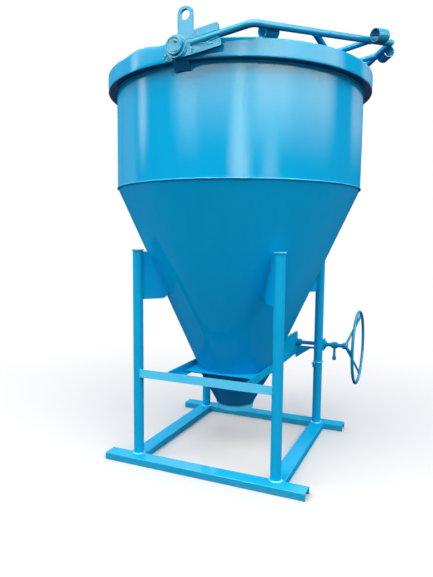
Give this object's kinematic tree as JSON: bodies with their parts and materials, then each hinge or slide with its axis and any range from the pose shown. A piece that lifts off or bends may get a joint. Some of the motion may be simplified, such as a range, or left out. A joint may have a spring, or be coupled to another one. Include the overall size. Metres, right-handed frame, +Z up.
{
  "type": "concrete bucket",
  "caption": "Steel concrete bucket: drum and cone hopper on a pipe stand, with a folding lifting bail, lifting lugs and a handwheel that opens a rack slide gate over a spout.",
  "frame": {"origin": "on the floor, on the hopper's axis, at the middle of the stand's footprint", "axes": "+X to the handwheel side, +Y to the rear, +Z up along the hopper's axis"},
  "size_m": [1.368, 1.3728, 1.988],
  "materials": {
    "blue_enamel": "glossy sky-blue enamel",
    "gear_steel": "bare machined steel with a film of grease"
  },
  "bodies": {
    "hopper": {"drum": "blue_enamel", "cone": "blue_enamel", "rim_ring": "blue_enamel", "lug_front": "blue_enamel", "lug_rear": "blue_enamel", "trunnion_pin_front": "blue_enamel", "trunnion_pin_rear": "blue_enamel", "rim_bracket_front": "blue_enamel", "rim_bracket_rear": "blue_enamel", "skid_front": "blue_enamel", "skid_rear": "blue_enamel", "side_bar_left": "blue_enamel", "side_bar_right": "blue_enamel", "post_front_left": "blue_enamel", "post_front_right": "blue_enamel", "post_rear_left": "blue_enamel", "post_rear_right": "blue_enamel", "post_caps": "blue_enamel", "gusset_front_left": "blue_enamel", "gusset_front_right": "blue_enamel", "gusset_rear_left": "blue_enamel", "gusset_rear_right": "blue_enamel", "front_rail": "blue_enamel", "post_clip": "blue_enamel", "gate_rail_left": "blue_enamel", "gate_rail_right": "blue_enamel", "cheek_left": "blue_enamel", "cheek_right": "blue_enamel", "shaft_bushes": "blue_enamel", "outrigger": "blue_enamel", "bearing_plate": "blue_enamel", "lower_cone": "blue_enamel", "spout": "blue_enamel"},
    "bail": {"bail_bar_front": "blue_enamel", "bail_bar_rear": "blue_enamel", "bail_cross_bar": "blue_enamel", "bail_strut_front": "blue_enamel", "bail_strut_rear": "blue_enamel", "hook_sleeve_front": "blue_enamel", "hook_sleeve_rear": "blue_enamel", "rest_sleeve_front": "blue_enamel", "rest_sleeve_rear": "blue_enamel", "bail_end_front": "blue_enamel", "bail_end_rear": "blue_enamel"},
    "gate": {"gate_plate": "blue_enamel", "rack_left": "gear_steel", "rack_right": "gear_steel"},
    "handwheel": {"drive_shaft": "blue_enamel", "pinion_left": "gear_steel", "pinion_right": "gear_steel", "shaft_collars": "blue_enamel", "wheel_hub": "blue_enamel", "wheel_spokes": "blue_enamel", "wheel_rim": "blue_enamel"},
    "drop_link": {"drop_link": "blue_enamel"}
  },
  "joints": [
    {"name": "bail_hinge", "type": "hinge", "parent": "hopper", "child": "bail", "pos_m": [0, 0, 1.808], "axis": [0, -1, 0], "range_deg": [0, 157.5]},
    {"name": "handwheel_turn", "type": "hinge", "parent": "hopper", "child": "handwheel", "pos_m": [0, 0.46295, 0.4771], "axis": [1, 0, 0], "range_deg": [0, 429]},
    {"name": "gate_slide", "type": "slide", "parent": "hopper", "child": "gate", "axis": [0, 1, 0], "range_m": [0, 0.3]},
    {"name": "link_swing", "type": "hinge", "parent": "hopper", "child": "drop_link", "pos_m": [0.427, 0.46295, 0.4771], "axis": [1, 0, 0], "continuous": true}
  ],
  "couplings": [
    {"joint": "gate_slide", "follows": "handwheel_turn", "m_per_rad": 0.04}
  ]
}
